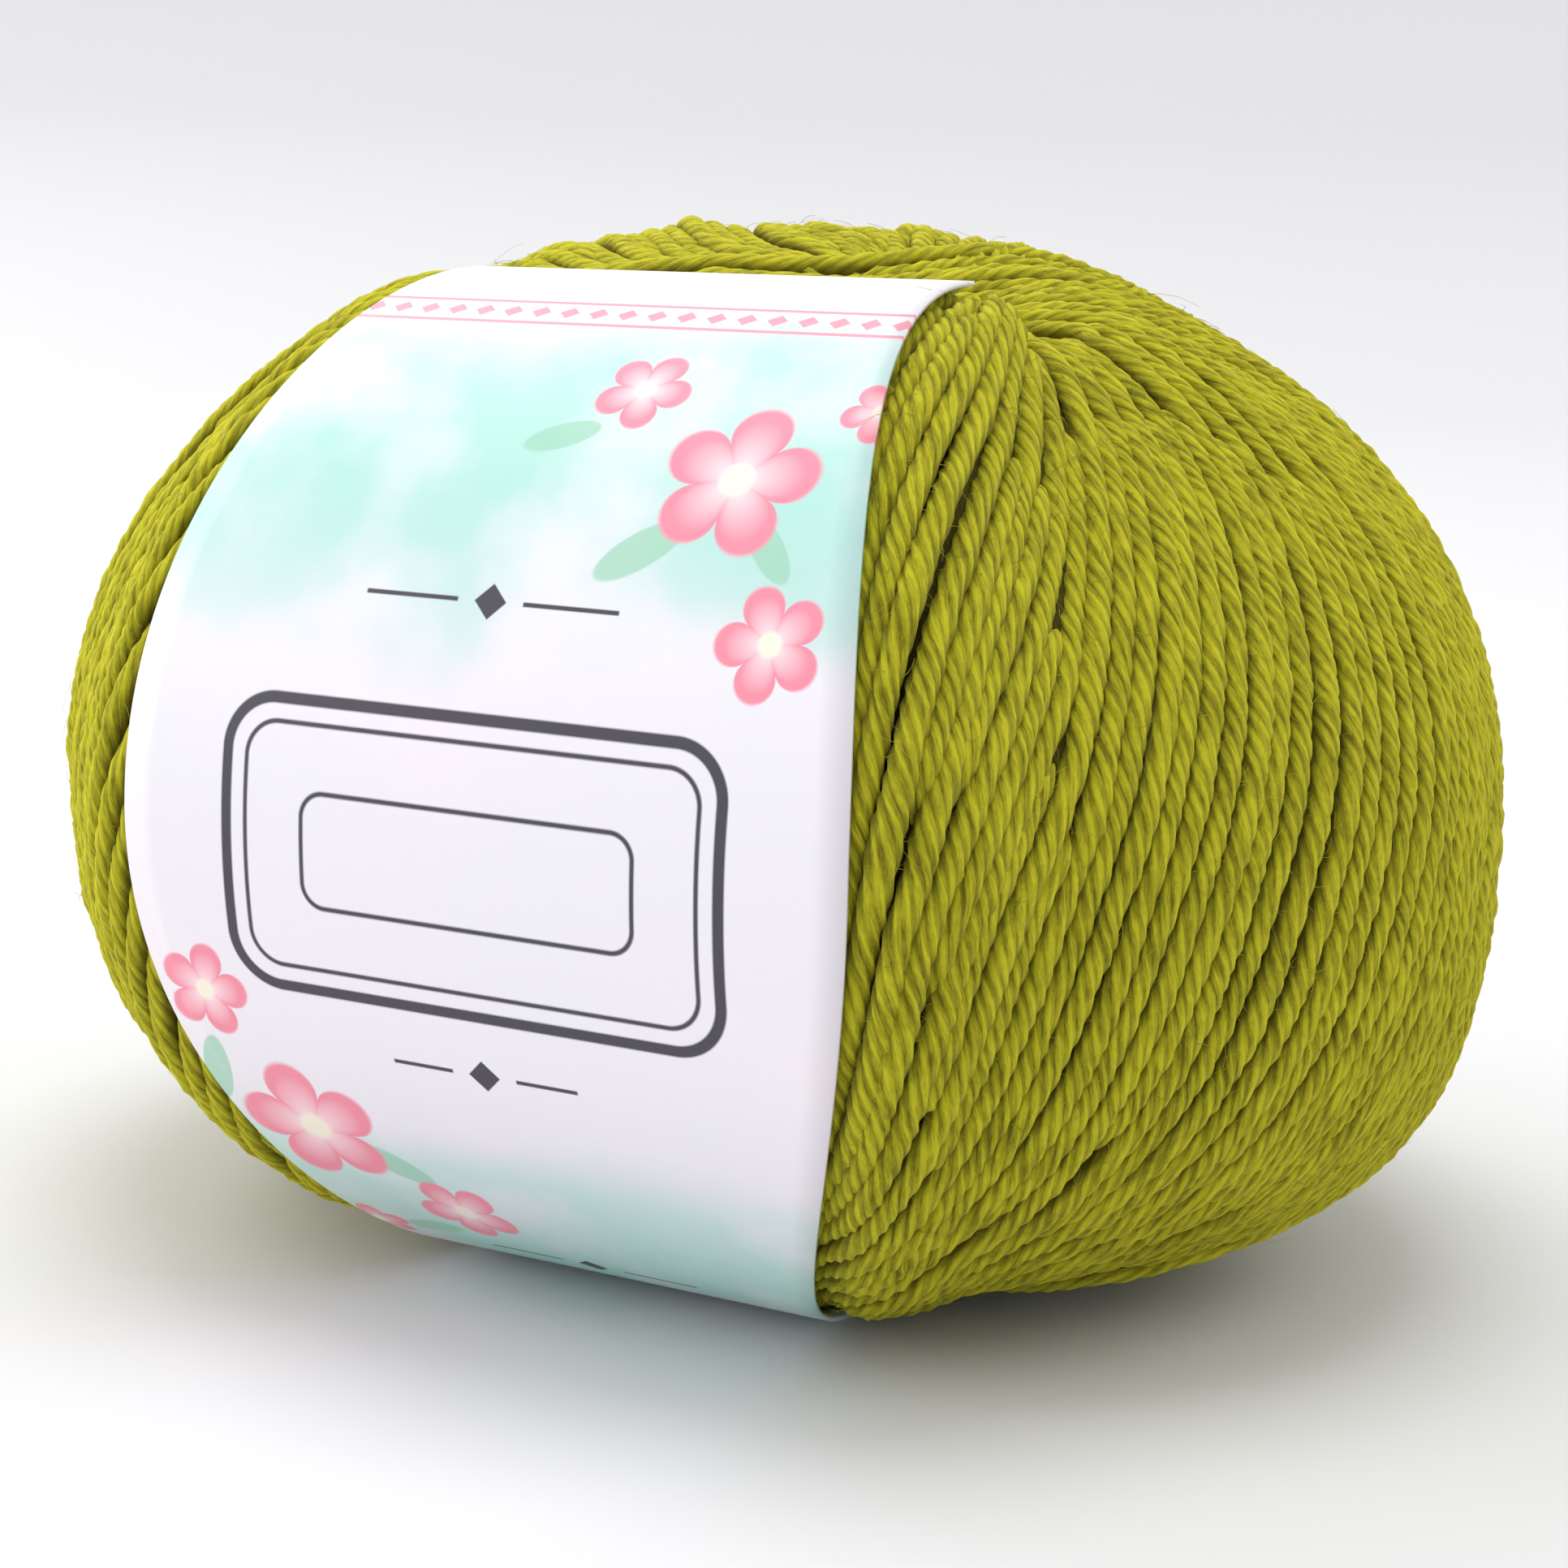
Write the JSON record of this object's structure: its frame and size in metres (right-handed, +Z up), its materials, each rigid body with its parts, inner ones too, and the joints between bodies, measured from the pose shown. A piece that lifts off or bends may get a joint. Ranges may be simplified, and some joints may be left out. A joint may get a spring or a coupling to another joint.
{
  "type": "ball of yarn",
  "caption": "Wound ball of lime green wool yarn with a paper label band threaded through its centre, resting on its flattened underside.",
  "frame": {"origin": "on the surface that the ball rests on, under the middle of the part's bounding box", "axes": "+X along the centre slot that the band passes through, the part's widest way; +Y from the band's front towards the plain back; +Z up, away from the surface it rests on"},
  "size_m": [0.0936, 0.0824, 0.0639],
  "materials": {
    "lime_wool": "matte",
    "coated_paper": "satin"
  },
  "bodies": {
    "root": {"yarn_ball": "lime_wool", "paper_band": "coated_paper"}
  },
  "joints": []
}
